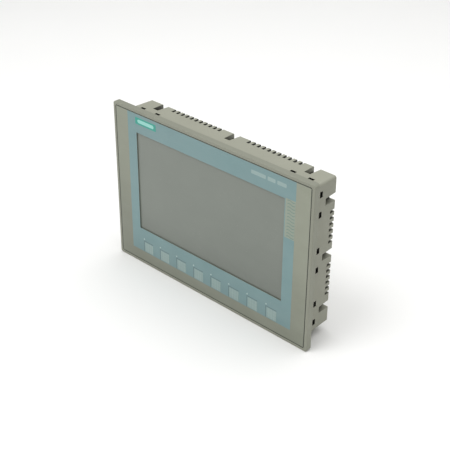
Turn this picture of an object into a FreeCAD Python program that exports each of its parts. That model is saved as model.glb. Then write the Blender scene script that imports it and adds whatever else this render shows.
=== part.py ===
import FreeCAD, Part
import math
import os

import Sketcher

# A panel-mounting operator panel with a touch display and eight function keys.
# Frame: X to the right seen from the front, Y from the front into the cabinet, Z up.
# The origin is the centre of the seat, the plane where the gasket meets the cabinet door.
# Everything with y < 0 stands in front of the door, everything with y > 0 behind it.

DRIVING_SIZES = [
    # Front bezel
    ("bezel_wide", 267.0), ("bezel_tall", 182.0), ("bezel_front", -6.8), ("bezel_back", -0.3),
    ("bezel_corner", 3.0), ("bezel_round", 0.7), ("plate_back", -4.6),
    ("cavity_half_x", 121.5), ("cavity_half_z", 79.5),
    # Overlay film in its recess, with a groove around it
    ("recess_inset", 3.3), ("recess_deep", 0.45), ("recess_corner", 2.0),
    ("groove_wide", 0.6), ("groove_deep", 0.9),
    # Screen window and touch screen
    ("window_wide", 199.0), ("window_tall", 112.8), ("window_mid_z", 9.5), ("window_corner", 0.6),
    ("window_lip", 0.5), ("touch_front", -5.6), ("touch_thick", 1.6),
    ("touch_wide", 210.0), ("touch_tall", 125.0), ("touch_slack", 0.5),
    # Function keys
    ("key_pitch", 25.0), ("key_row_mid_x", 0.7), ("key_mid_z", -68.35),
    ("key_wide", 12.7), ("key_tall", 11.5), ("key_proud", 0.15), ("key_round", 0.25),
    ("key_gap", 0.2), ("key_rim", 1.15), ("key_rim_thick", 0.6), ("key_play", 0.05),
    ("key_pocket_deep", 1.45), ("key_pocket_slack", 0.4), ("plunger_radius", 2.5),
    ("plunger_long", 2.0), ("plunger_slack", 0.5),
    # Keypad board and its domes
    ("keypad_front", -2.4), ("keypad_thick", 0.8), ("keypad_half_x", 104.0),
    ("keypad_low_z", -78.8), ("keypad_high_z", -57.4), ("dome_radius", 4.0), ("dome_tall", 0.7),
    ("crown_radius", 2.6), ("rail_wide", 1.2),
    # Gasket on the back of the flange
    ("gasket_half_x", 131.0), ("gasket_half_z", 88.5), ("gasket_wide", 5.0),
    ("gasket_sunk", 1.2), ("gasket_corner", 3.0),
    # Display module
    ("seal_thick", 1.0), ("seal_wide", 4.5), ("seal_inset", 0.5), ("lcd_wide", 211.0),
    ("lcd_tall", 126.6), ("lcd_glass_thick", 1.2), ("diffuser_thick", 0.5),
    ("guide_thick", 2.4), ("reflector_thick", 0.3), ("lcd_wall", 0.6),
    ("lcd_layer_slack", 0.4), ("led_bar_tall", 2.5), ("led_bar_gap", 0.2),
    # Carrier plate, stand-offs and main board
    ("carrier_front", 2.9), ("carrier_thick", 1.0), ("carrier_half_x", 118.0),
    ("carrier_half_z", 76.5), ("carrier_corner", 3.0), ("carrier_slot_wide", 12.0),
    ("carrier_slot_tall", 60.0), ("carrier_slot_pitch", 22.0), ("carrier_slot_z", 8.0),
    ("standoff_radius", 2.9), ("standoff_tall", 5.1), ("board_screw_x", 88.0),
    ("board_screw_z", 52.0),
    ("board_half_x", 94.0), ("board_low_z", -60.0), ("board_high_z", 58.0), ("board_thick", 1.6),
    # What is soldered to the main board
    ("processor_x", 24.0), ("processor_z", 12.0), ("processor_wide", 19.0),
    ("processor_thick", 1.8), ("sink_wide", 38.0), ("sink_base", 2.0), ("fin_tall", 8.0),
    ("fin_thick", 1.5), ("can_first_x", -76.0), ("can_pitch", 12.0), ("can_z", -8.0),
    ("can_foot_wide", 8.4), ("can_foot_thick", 1.0), ("can_radius", 4.0), ("can_tall", 9.5),
    ("can_round", 0.6), ("connector_thick", 2.4), ("connector_narrow", 4.5),
    ("keypad_plug_x", 48.0), ("keypad_plug_z", -52.0), ("keypad_plug_long", 16.0),
    ("touch_plug_x", 84.0), ("touch_plug_z", 0.0), ("touch_plug_long", 12.0),
    # Flat cables: how thick, how wide, and their openings in the carrier
    ("cable_thick", 0.3), ("lcd_cable_x", -30.0), ("lcd_cable_z", 65.0),
    ("lcd_cable_wide", 28.0), ("lcd_plug_z", 52.25), ("keypad_cable_z", -64.0),
    ("keypad_cable_wide", 14.0), ("touch_cable_x", 109.0), ("touch_cable_wide", 10.0),
    ("cable_slot_wide", 5.0), ("lcd_slot_long", 34.0), ("keypad_slot_long", 18.0),
    ("touch_slot_long", 16.0),
    # Rear housing
    ("housing_front_x", 124.8), ("housing_front_z", 82.3), ("housing_lean", 1.18),
    ("housing_rear", 37.2), ("housing_wall", 2.4),
    ("housing_corner", 3.8), ("housing_round", 1.0),
    # Clip places: two slots and one notch each
    ("clip_x", 101.0), ("clip_z", 60.0), ("slot_offset", 10.65), ("slot_long", 6.3),
    ("slot_wide", 4.0), ("slot_y", 14.3), ("notch_front", 21.6), ("notch_narrow", 7.0),
    ("notch_broad", 8.8), ("notch_deep", 7.2), ("notch_wall", 2.0),
    # The wall is thinned from inside around each slot, down to this far inside the rear outline
    ("relief_margin", 1.6), ("relief_stop", 0.4),
    # Vent slots, open over the rear edge
    ("vent_pitch", 6.5), ("vent_wide", 3.0), ("vent_front", 30.0), ("vent_wrap", 7.0),
    ("vent_top_x", 52.1), ("vent_side_z", 29.27),
    # Connector bay in the underside
    ("bay_left", -84.0), ("bay_right", -14.0), ("bay_front", 8.5), ("bay_top_z", -62.9),
    ("bay_wall", 2.4), ("port_slack", 0.4),
    # Connectors on the board, with their mouths in the bay's ceiling
    ("power_x", -73.0), ("power_wide", 15.0), ("power_deep", 9.5), ("power_long", 12.0),
    ("power_mouth_wide", 13.0), ("power_mouth_deep", 7.7), ("power_reach", 9.0),
    ("pin_offset", 2.54), ("pin_wide", 1.0), ("pin_sunk", 4.5),
    ("ethernet_x", -51.0), ("ethernet_wide", 16.0), ("ethernet_deep", 13.5),
    ("ethernet_long", 21.0), ("ethernet_mouth_wide", 11.9), ("ethernet_mouth_deep", 7.4),
    ("ethernet_reach", 14.0), ("latch_wide", 6.0), ("latch_deep", 1.8),
    ("contact_pitch", 1.02), ("contact_wide", 0.4), ("contact_thick", 0.6),
    ("contact_sunk", 2.0),
    ("usb_x", -28.0), ("usb_wide", 14.4), ("usb_deep", 7.2), ("usb_long", 14.0),
    ("usb_mouth_wide", 12.5), ("usb_mouth_deep", 5.2), ("usb_reach", 12.0),
    ("tongue_wide", 11.0), ("tongue_thick", 1.7), ("tongue_shift", 1.0), ("tongue_sunk", 1.5),
    # Screws, bosses and the earth insert
    ("post_x", 112.0), ("post_z", 71.0), ("post_radius", 4.5), ("screw_radius", 1.5),
    ("screw_clear", 1.7), ("head_radius", 2.8), ("head_tall", 2.4), ("head_round", 0.4),
    ("drive_radius", 1.5), ("drive_deep", 1.4), ("board_screw_gap", 0.3),
    ("well_radius", 3.4), ("well_bottom", 12.0), ("screw_tip", -4.0),
    ("side_boss_x", 113.5), ("side_boss_z", 25.0), ("side_boss_radius", 3.5),
    ("earth_x", -100.0), ("earth_z", -38.0), ("earth_radius", 3.5), ("earth_bore", 1.65),
    ("earth_long", 8.0), ("earth_boss_wall", 1.8),
    # Blank rating plate on the back
    ("label_x", 20.0), ("label_z", 12.0), ("label_wide", 72.0), ("label_tall", 34.0),
    ("label_thick", 0.3), ("label_corner", 1.5),
    # How far a cut runs on past the face that it opens
    ("overrun", 3.0),
]

KEY_COUNT = 8
VENTS_PER_TOP_GROUP = 11
VENTS_PER_SIDE_GROUP = 6
CARRIER_SLOT_COUNT = 7
CAPACITOR_COUNT = 4
FIN_COUNT = 8
CONTACT_COUNT = 8
# The remaining parts on the board: label, middles as (x, z), width, thickness and height.
BOARD_PARTS = (
    ("memory_chips", [(4, 22), (4, 4)], 9, 1.1, 12.5),
    ("flash_chips", [(52, 24), (70, 24)], 12, 1.1, 14),
    ("power_inductors", [(-74, -28), (-56, -28)], 10, 4.5, 10),
    ("display_connectors", [(-30, 50)], 32, 2.4, 4.5),
)
VECTOR = FreeCAD.Vector

doc = FreeCAD.newDocument("operator_panel")
sheet = doc.addObject("Spreadsheet::Sheet", "sizes")
for row, (alias, number) in enumerate(DRIVING_SIZES, start=1):
    sheet.set(f"A{row}", alias)
    sheet.set(f"B{row}", str(number))
    sheet.setAlias(f"B{row}", alias)
doc.recompute()


class Size:
    """A length that carries both its value and its formula over the sheet's cells."""

    def __init__(self, value, formula):
        self.value = float(value)
        self.formula = formula

    def __add__(self, other):
        other = as_size(other)
        return Size(self.value + other.value, f"({self.formula} + {other.formula})")

    def __sub__(self, other):
        other = as_size(other)
        return Size(self.value - other.value, f"({self.formula} - {other.formula})")

    def __mul__(self, factor):
        return Size(self.value * factor, f"({self.formula} * {factor})")

    def __neg__(self):
        return self * -1

    def __rsub__(self, other):
        return as_size(other) - self

    __radd__ = __add__
    __rmul__ = __mul__


def as_size(number):
    return number if isinstance(number, Size) else Size(number, str(number))


def size(alias):
    """The length that a cell of the sheet holds."""
    return Size(sheet.get(alias), f"sizes.{alias}")


def bind(feature, attribute, length):
    feature.setExpression(attribute, as_size(length).formula)


# ---------------------------------------------------------------- sketches and features

# The way each origin plane's normal points along its global axis.
NORMAL_SIGN = {"XY_Plane": 1, "XZ_Plane": -1, "YZ_Plane": 1}


def origin_feature(body, role):
    return next(item for item in body.Origin.OriginFeatures if item.Role == role)


def new_body(label, many_solids=False):
    body = doc.addObject("PartDesign::Body", label)
    body.Label = label
    body.AllowCompound = many_solids
    return body


def new_sketch(body, plane, at):
    """An empty sketch on the plane's parallel through coordinate `at` of its normal axis."""
    sketch = body.newObject("Sketcher::SketchObject", f"{body.Name}_outline")
    sketch.AttachmentSupport = (origin_feature(body, plane), "")
    sketch.MapMode = "FlatFace"
    bind(sketch, "AttachmentOffset.Base.z", as_size(at) * NORMAL_SIGN[plane])
    return sketch


def place_point(sketch, geometry, point, u=None, v=None):
    """Hold one point of a geometry at distances from the sketch's origin."""
    for kind, length in (("DistanceX", u), ("DistanceY", v)):
        if length is None:
            continue
        length = as_size(length)
        rule = Sketcher.Constraint(kind, -1, 1, geometry, point, length.value)
        index = sketch.addConstraint(rule)
        sketch.setExpression(f"Constraints[{index}]", length.formula)


def add_circle(sketch, u, v, radius):
    u, v, radius = as_size(u), as_size(v), as_size(radius)
    circle = Part.Circle(VECTOR(u.value, v.value, 0), VECTOR(0, 0, 1), radius.value)
    geometry = sketch.addGeometry(circle, False)
    place_point(sketch, geometry, 3, u, v)
    index = sketch.addConstraint(Sketcher.Constraint("Radius", geometry, radius.value))
    sketch.setExpression(f"Constraints[{index}]", radius.formula)


def add_polygon(sketch, corners):
    """A closed outline through corners given as (u, v) pairs."""
    corners = [(as_size(u), as_size(v)) for u, v in corners]
    first = sketch.GeometryCount
    count = len(corners)
    for k, (u, v) in enumerate(corners):
        next_u, next_v = corners[(k + 1) % count]
        start = VECTOR(u.value, v.value, 0)
        sketch.addGeometry(Part.LineSegment(start, VECTOR(next_u.value, next_v.value, 0)), False)
    for k in range(count):
        follower = first + (k + 1) % count
        sketch.addConstraint(Sketcher.Constraint("Coincident", first + k, 2, follower, 1))
    for k, (u, v) in enumerate(corners):
        place_point(sketch, first + k, 1, u, v)


def add_rectangle(sketch, u0, v0, u1, v1):
    add_polygon(sketch, [(u0, v0), (u1, v0), (u1, v1), (u0, v1)])


def add_centred(sketch, u, v, wide, tall):
    """A rectangle of a width and height about a centre."""
    half_u, half_v = as_size(wide) * 0.5, as_size(tall) * 0.5
    u, v = as_size(u), as_size(v)
    add_rectangle(sketch, u - half_u, v - half_v, u + half_u, v + half_v)


def add_hexagon(sketch, u, v, radius):
    """A hexagon whose corners lie on a circle."""
    turns = [math.pi * k / 3 for k in range(6)]
    add_polygon(sketch, [(u + radius * math.cos(turn), v + radius * math.sin(turn))
                         for turn in turns])


def add_rounded(sketch, u, v, half_u, half_v, corner):
    """A rectangle about a centre with four tangent corner arcs."""
    u, v, half_u, half_v, corner = (as_size(item) for item in (u, v, half_u, half_v, corner))
    first = sketch.GeometryCount
    right_angle = math.pi / 2
    sides = ((1, -1, -1), (1, 1, 0), (-1, 1, 1), (-1, -1, 2))
    for step, (way_u, way_v, turn) in enumerate(sides):
        next_u, next_v = sides[(step + 1) % 4][:2]
        centre = VECTOR(u.value + way_u * (half_u.value - corner.value),
                        v.value + way_v * (half_v.value - corner.value), 0)
        circle = Part.Circle(centre, VECTOR(0, 0, 1), corner.value)
        arc = Part.ArcOfCircle(circle, turn * right_angle, (turn + 1) * right_angle)
        sketch.addGeometry(arc, False)
        next_centre = VECTOR(u.value + next_u * (half_u.value - corner.value),
                             v.value + next_v * (half_v.value - corner.value), 0)
        out = VECTOR(way_u if way_u == next_u else 0, way_v if way_v == next_v else 0, 0)
        out = out * corner.value
        sketch.addGeometry(Part.LineSegment(centre + out, next_centre + out), False)
    for k in range(0, 8, 2):
        arc, line, next_arc = first + k, first + k + 1, first + (k + 2) % 8
        sketch.addConstraint(Sketcher.Constraint("Tangent", arc, 2, line, 1))
        sketch.addConstraint(Sketcher.Constraint("Tangent", line, 2, next_arc, 1))
    place_point(sketch, first + 1, 1, u=u + half_u)
    place_point(sketch, first + 3, 1, v=v + half_v)
    place_point(sketch, first + 5, 1, u=u - half_u)
    place_point(sketch, first + 7, 1, v=v - half_v)
    index = sketch.addConstraint(Sketcher.Constraint("Radius", first, corner.value))
    sketch.setExpression(f"Constraints[{index}]", corner.formula)
    for k in (2, 4, 6):
        sketch.addConstraint(Sketcher.Constraint("Equal", first, first + k))


def plane_of(sketch):
    return sketch.AttachmentSupport[0][0].Role


def pad(body, sketch, length, way=1):
    """Grow the sketch along its global axis, forwards (+1) or backwards (-1)."""
    feature = body.newObject("PartDesign::Pad", f"{body.Name}_pad")
    feature.Profile = sketch
    feature.Reversed = way != NORMAL_SIGN[plane_of(sketch)]
    bind(feature, "Length", length)
    body.Tip = feature
    return feature


def pocket(body, sketch, length, way=1):
    """Cut the sketch along its global axis, and make sure that it removed something."""
    before = body.Tip
    feature = body.newObject("PartDesign::Pocket", f"{body.Name}_pocket")
    feature.Profile = sketch
    feature.Reversed = way == NORMAL_SIGN[plane_of(sketch)]
    bind(feature, "Length", length)
    body.Tip = feature
    doc.recompute()
    if feature.Shape.Volume > before.Shape.Volume - 1e-3:
        raise RuntimeError(f"{feature.Label} cuts nothing")
    return feature


def mirror(body, feature, plane):
    """Repeat a feature on the other side of an origin plane."""
    copy = body.newObject("PartDesign::Mirrored", f"{body.Name}_mirror")
    copy.Originals = [feature]
    copy.MirrorPlane = (origin_feature(body, plane), [""])
    body.Tip = copy
    doc.recompute()
    return copy


def fillet(body, radius, chosen):
    """Round the edges of the body that `chosen` accepts."""
    doc.recompute()
    base = body.Tip
    names = [f"Edge{k}" for k, edge in enumerate(base.Shape.Edges, start=1) if chosen(edge)]
    feature = body.newObject("PartDesign::Fillet", f"{body.Name}_fillet")
    feature.Base = (base, names)
    bind(feature, "Radius", radius)
    body.Tip = feature
    doc.recompute()
    return feature


def near(value, target, slack=0.02):
    return abs(value - as_size(target).value) < slack


def lies_at_y(edge, y):
    return near(edge.BoundBox.YMin, y) and near(edge.BoundBox.YMax, y)


# ---------------------------------------------------------------- common shapes of pieces

def flat_piece(label, front, thick, outline, many_solids=False):
    """A flat piece behind coordinate y = front: `outline` draws its edge and its holes."""
    body = new_body(label, many_solids)
    sketch = new_sketch(body, "XZ_Plane", front)
    outline(sketch)
    pad(body, sketch, thick)
    return body


def block(label, x, y, z, wide, deep, tall):
    """A plain block: x and z are its middle, y is its front."""
    piece = doc.addObject("Part::Box", label)
    piece.Label = label
    for attribute, length in (("Length", wide), ("Width", deep), ("Height", tall)):
        bind(piece, attribute, length)
    bind(piece, "Placement.Base.x", as_size(x) - as_size(wide) * 0.5)
    bind(piece, "Placement.Base.y", y)
    bind(piece, "Placement.Base.z", as_size(z) - as_size(tall) * 0.5)
    return piece


def screws(label, places, seat, tip):
    """Hexagon-socket screws driven from behind: the heads sit on y = seat, the shanks end at tip."""
    seat = as_size(seat)
    body = new_body(label, many_solids=True)
    shanks = new_sketch(body, "XZ_Plane", tip)
    heads = new_sketch(body, "XZ_Plane", seat)
    drives = new_sketch(body, "XZ_Plane", seat + size("head_tall") - size("drive_deep"))
    for x, z in places:
        add_circle(shanks, x, z, size("screw_radius"))
        add_circle(heads, x, z, size("head_radius"))
        add_hexagon(drives, x, z, size("drive_radius"))
    pad(body, shanks, seat - as_size(tip))
    pad(body, heads, size("head_tall"))
    pocket(body, drives, size("drive_deep"))
    fillet(body, size("head_round"), lambda edge: lies_at_y(edge, seat + size("head_tall"))
           and near(edge.BoundBox.XLength, size("head_radius") * 2, 0.05))
    return body


def four_places(x, z):
    return [(x * way_x, z * way_z) for way_x in (-1, 1) for way_z in (-1, 1)]


def key_places():
    middle = (KEY_COUNT - 1) / 2
    return [size("key_row_mid_x") + size("key_pitch") * (k - middle) for k in range(KEY_COUNT)]


POSTS = four_places(size("post_x"), size("post_z"))
SIDE_BOSSES = four_places(size("side_boss_x"), size("side_boss_z"))
BOARD_SCREWS = four_places(size("board_screw_x"), size("board_screw_z"))
CARRIER_BACK = size("carrier_front") + size("carrier_thick")
BOARD_FRONT = CARRIER_BACK + size("standoff_tall")
BOARD_BACK = BOARD_FRONT + size("board_thick")
FILM_BACK = size("bezel_front") + size("recess_deep")
LCD_FRONT = size("touch_front") + size("touch_thick") + size("seal_thick")
HALF_WALL = size("housing_wall") * 0.5
HOUSING_REAR_X = size("housing_front_x") - size("housing_lean")
HOUSING_REAR_Z = size("housing_front_z") - size("housing_lean")
# The openings in the carrier for the flat cables: (x middle, z middle, wide, tall).
CABLE_SLOTS = (
    (size("lcd_cable_x"), size("lcd_cable_z"), size("lcd_slot_long"), size("cable_slot_wide")),
    (size("keypad_plug_x"), size("keypad_cable_z"), size("keypad_slot_long"),
     size("cable_slot_wide")),
    (size("touch_cable_x"), size("touch_plug_z"), size("cable_slot_wide"),
     size("touch_slot_long")),
)


# ---------------------------------------------------------------- front

def make_bezel():
    body = new_body("front_bezel")
    front, back = size("bezel_front"), size("bezel_back")
    half_x, half_z = size("bezel_wide") * 0.5, size("bezel_tall") * 0.5
    outline = new_sketch(body, "XZ_Plane", front)
    add_rounded(outline, 0, 0, half_x, half_z, size("bezel_corner"))
    pad(body, outline, back - front)
    fillet(body, size("bezel_round"), lambda edge: lies_at_y(edge, front))

    recess_x, recess_z = half_x - size("recess_inset"), half_z - size("recess_inset")
    recess = new_sketch(body, "XZ_Plane", front)
    add_rounded(recess, 0, 0, recess_x, recess_z, size("recess_corner"))
    pocket(body, recess, size("recess_deep"))

    groove = new_sketch(body, "XZ_Plane", FILM_BACK)
    wide = size("groove_wide")
    add_rounded(groove, 0, 0, recess_x, recess_z, size("recess_corner"))
    add_rounded(groove, 0, 0, recess_x - wide, recess_z - wide, size("recess_corner") - wide)
    pocket(body, groove, size("groove_deep"))

    window = new_sketch(body, "XZ_Plane", FILM_BACK)
    lip = size("window_lip")
    add_centred(window, 0, size("window_mid_z"), size("window_wide") + lip * 2,
                size("window_tall") + lip * 2)
    pocket(body, window, back - FILM_BACK)

    glass_seat = new_sketch(body, "XZ_Plane", size("touch_front"))
    slack = size("touch_slack") * 2
    add_centred(glass_seat, 0, size("window_mid_z"), size("touch_wide") + slack,
                size("touch_tall") + slack)
    pocket(body, glass_seat, back - size("touch_front"))

    cavity = new_sketch(body, "XZ_Plane", size("plate_back"))
    add_rectangle(cavity, -size("cavity_half_x"), -size("cavity_half_z"),
                  size("cavity_half_x"), size("cavity_half_z"))
    pocket(body, cavity, back - size("plate_back"))

    key_seats = new_sketch(body, "XZ_Plane", FILM_BACK)
    plunger_holes = new_sketch(body, "XZ_Plane", FILM_BACK)
    rim = (size("key_rim") + size("key_pocket_slack")) * 2
    for x in key_places():
        add_centred(key_seats, x, size("key_mid_z"), size("key_wide") + rim,
                    size("key_tall") + rim)
        add_circle(plunger_holes, x, size("key_mid_z"),
                   size("plunger_radius") + size("plunger_slack"))
    pocket(body, key_seats, size("key_pocket_deep"))
    pocket(body, plunger_holes, size("plate_back") - FILM_BACK)

    gasket_seat = new_sketch(body, "XZ_Plane", -size("gasket_sunk"))
    draw_gasket(gasket_seat)
    pocket(body, gasket_seat, back + size("gasket_sunk"))

    bosses = new_sketch(body, "XZ_Plane", size("plate_back"))
    for x, z in POSTS:
        add_circle(bosses, x, z, size("post_radius"))
        add_circle(bosses, x, z, size("screw_radius"))
    for x, z in SIDE_BOSSES:
        add_circle(bosses, x, z, size("side_boss_radius"))
        add_circle(bosses, x, z, size("screw_radius"))
    pad(body, bosses, size("carrier_front") - size("plate_back"))

    rails = new_sketch(body, "XZ_Plane", size("plate_back"))
    for low_z in (size("keypad_low_z"), size("keypad_high_z") - size("rail_wide")):
        add_rectangle(rails, -size("keypad_half_x"), low_z, size("keypad_half_x"),
                      low_z + size("rail_wide"))
    pad(body, rails, size("keypad_front") - size("plate_back"))


def draw_gasket(sketch):
    half_x, half_z = size("gasket_half_x"), size("gasket_half_z")
    wide, corner = size("gasket_wide"), size("gasket_corner")
    add_rounded(sketch, 0, 0, half_x, half_z, corner)
    add_rounded(sketch, 0, 0, half_x - wide, half_z - wide, corner * 0.5)


def draw_overlay(sketch):
    inset = size("recess_inset") + size("groove_wide")
    add_rounded(sketch, 0, 0, size("bezel_wide") * 0.5 - inset, size("bezel_tall") * 0.5 - inset,
                size("recess_corner") - size("groove_wide"))
    add_rounded(sketch, 0, size("window_mid_z"), size("window_wide") * 0.5,
                size("window_tall") * 0.5, size("window_corner"))
    for x in key_places():
        add_centred(sketch, x, size("key_mid_z"), size("key_wide") + size("key_gap") * 2,
                    size("key_tall") + size("key_gap") * 2)


def make_key(number, x):
    """A key pad: its face stands in the film's opening and its rim lies behind the film."""
    body = new_body(f"function_key_{number}")
    face_front = size("bezel_front") - size("key_proud")
    rim_front = FILM_BACK + size("key_play")
    face = new_sketch(body, "XZ_Plane", face_front)
    add_centred(face, 0, 0, size("key_wide"), size("key_tall"))
    pad(body, face, rim_front - face_front)
    rim = new_sketch(body, "XZ_Plane", rim_front)
    add_centred(rim, 0, 0, size("key_wide") + size("key_rim") * 2,
                size("key_tall") + size("key_rim") * 2)
    pad(body, rim, size("key_rim_thick"))
    plunger = new_sketch(body, "XZ_Plane", rim_front + size("key_rim_thick"))
    add_circle(plunger, 0, 0, size("plunger_radius"))
    pad(body, plunger, size("plunger_long"))
    fillet(body, size("key_round"), lambda edge: lies_at_y(edge, face_front))
    bind(body, "Placement.Base.x", x)
    bind(body, "Placement.Base.z", size("key_mid_z"))


def make_domes():
    """Two-step steel snap domes on the front of the keypad board."""
    body = new_body("key_domes", many_solids=True)
    top = size("keypad_front") - size("dome_tall")
    skirts = new_sketch(body, "XZ_Plane", size("keypad_front") - size("dome_tall") * 0.5)
    crowns = new_sketch(body, "XZ_Plane", top)
    for x in key_places():
        add_circle(skirts, x, size("key_mid_z"), size("dome_radius"))
        add_circle(crowns, x, size("key_mid_z"), size("crown_radius"))
    pad(body, skirts, size("dome_tall") * 0.5)
    pad(body, crowns, size("dome_tall") * 0.5)


def make_keypad_board():
    def outline(sketch):
        add_rectangle(sketch, -size("keypad_half_x"), size("keypad_low_z"),
                      size("keypad_half_x"), size("keypad_high_z"))
    flat_piece("keypad_board", size("keypad_front"), size("keypad_thick"), outline)


def make_touch_screen():
    block("touch_screen", 0, size("touch_front"), size("window_mid_z"),
          size("touch_wide"), size("touch_thick"), size("touch_tall"))

    def seal(sketch):
        middle, inset = size("window_mid_z"), size("seal_inset") * 2
        for less in (inset, inset + size("seal_wide") * 2):
            add_centred(sketch, 0, middle, size("touch_wide") - less, size("touch_tall") - less)
    flat_piece("touch_seal", size("touch_front") + size("touch_thick"), size("seal_thick"), seal)


# ---------------------------------------------------------------- display

def make_display():
    """Glass, diffuser, light guide and reflector stacked in a pressed metal frame."""
    middle = size("window_mid_z")
    walls = (size("lcd_wall") + size("lcd_layer_slack")) * 2
    wide, tall = size("lcd_wide") - walls, size("lcd_tall") - walls
    layers = (("lcd_glass", "lcd_glass_thick"), ("lcd_diffuser", "diffuser_thick"),
              ("light_guide", "guide_thick"), ("lcd_reflector", "reflector_thick"))
    front = LCD_FRONT + size("lcd_wall")
    for label, thick_alias in layers:
        bar = size("led_bar_tall") if label == "light_guide" else as_size(0)
        block(label, 0, front, middle + bar * 0.5, wide, size(thick_alias), tall - bar)
        if label == "light_guide":
            gap = size("led_bar_gap")
            block("led_bar", 0, front, middle - (tall - bar + gap) * 0.5, wide,
                  size(thick_alias), bar - gap)
        front = front + size(thick_alias)

    frame = new_body("lcd_frame")
    outer = new_sketch(frame, "XZ_Plane", LCD_FRONT)
    add_centred(outer, 0, middle, size("lcd_wide"), size("lcd_tall"))
    pad(frame, outer, front - LCD_FRONT)
    inner = new_sketch(frame, "XZ_Plane", LCD_FRONT + size("lcd_wall"))
    add_centred(inner, 0, middle, size("lcd_wide") - size("lcd_wall") * 2,
                size("lcd_tall") - size("lcd_wall") * 2)
    pocket(frame, inner, front - LCD_FRONT - size("lcd_wall"))
    view = new_sketch(frame, "XZ_Plane", LCD_FRONT)
    add_centred(view, 0, middle, size("window_wide"), size("window_tall"))
    pocket(frame, view, size("lcd_wall"))
    return front


# ---------------------------------------------------------------- carrier and main board

def make_carrier():
    def outline(sketch):
        add_rounded(sketch, 0, 0, size("carrier_half_x"), size("carrier_half_z"),
                    size("carrier_corner"))
        for x, z in POSTS + SIDE_BOSSES + BOARD_SCREWS:
            add_circle(sketch, x, z, size("screw_clear"))
        for x, z, wide, tall in CABLE_SLOTS:
            add_centred(sketch, x, z, wide, tall)
        for k in range(CARRIER_SLOT_COUNT):
            x = size("carrier_slot_pitch") * (k - (CARRIER_SLOT_COUNT - 1) / 2)
            add_centred(sketch, x, size("carrier_slot_z"), size("carrier_slot_wide"),
                        size("carrier_slot_tall"))
    flat_piece("carrier_plate", size("carrier_front"), size("carrier_thick"), outline)
    screws("carrier_screws", SIDE_BOSSES, CARRIER_BACK, size("screw_tip"))

    body = new_body("board_standoffs", many_solids=True)
    tubes = new_sketch(body, "XZ_Plane", CARRIER_BACK)
    for x, z in BOARD_SCREWS:
        add_circle(tubes, x, z, size("standoff_radius"))
        add_circle(tubes, x, z, size("screw_radius"))
    pad(body, tubes, size("standoff_tall"))


def make_main_board():
    def outline(sketch):
        add_rectangle(sketch, -size("board_half_x"), size("board_low_z"),
                      size("board_half_x"), size("board_high_z"))
        for x, z in BOARD_SCREWS:
            add_circle(sketch, x, z, size("screw_clear"))
    flat_piece("main_board", BOARD_FRONT, size("board_thick"), outline)
    screws("board_screws", BOARD_SCREWS, BOARD_BACK, CARRIER_BACK + size("board_screw_gap"))

    for label, places, wide, thick, tall in BOARD_PARTS:
        def rectangles(sketch):
            for x, z in places:
                add_centred(sketch, x, z, wide, tall)
        flat_piece(label, BOARD_BACK, thick, rectangles, many_solids=len(places) > 1)
    thick, narrow = size("connector_thick"), size("connector_narrow")
    block("keypad_connector", size("keypad_plug_x"), BOARD_BACK, size("keypad_plug_z"),
          size("keypad_plug_long"), thick, narrow)
    block("touch_connector", size("touch_plug_x"), BOARD_BACK, size("touch_plug_z"),
          narrow, thick, size("touch_plug_long"))


def make_capacitors():
    """Aluminium cans in a row, each on its square foot."""
    body = new_body("capacitors", many_solids=True)
    foot, tall = size("can_foot_thick"), size("can_tall")
    feet = new_sketch(body, "XZ_Plane", BOARD_BACK)
    cans = new_sketch(body, "XZ_Plane", BOARD_BACK + foot)
    for k in range(CAPACITOR_COUNT):
        x = size("can_first_x") + size("can_pitch") * k
        add_centred(feet, x, size("can_z"), size("can_foot_wide"), size("can_foot_wide"))
        add_circle(cans, x, size("can_z"), size("can_radius"))
    pad(body, feet, foot)
    pad(body, cans, tall)
    fillet(body, size("can_round"), lambda edge: lies_at_y(edge, BOARD_BACK + foot + tall))


def make_processor():
    """The processor and the finned heat sink on its back."""
    x, z = size("processor_x"), size("processor_z")
    wide = size("processor_wide")
    block("processor", x, BOARD_BACK, z, wide, size("processor_thick"), wide)
    body = new_body("heat_sink")
    base_front = BOARD_BACK + size("processor_thick")
    base = new_sketch(body, "XZ_Plane", base_front)
    add_centred(base, x, z, size("sink_wide"), size("sink_wide"))
    pad(body, base, size("sink_base"))
    fins = new_sketch(body, "XZ_Plane", base_front + size("sink_base"))
    pitch = (size("sink_wide") - size("fin_thick")) * (1 / (FIN_COUNT - 1))
    for k in range(FIN_COUNT):
        add_centred(fins, x + pitch * (k - (FIN_COUNT - 1) / 2), z, size("fin_thick"),
                    size("sink_wide"))
    pad(body, fins, size("fin_tall"))


def cable(label, plane, start, wide, corners):
    """A folded flat cable: `corners` outlines its folds, and it is as wide as stated."""
    body = new_body(label)
    sketch = new_sketch(body, plane, start)
    add_polygon(sketch, corners)
    pad(body, sketch, wide)


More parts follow.
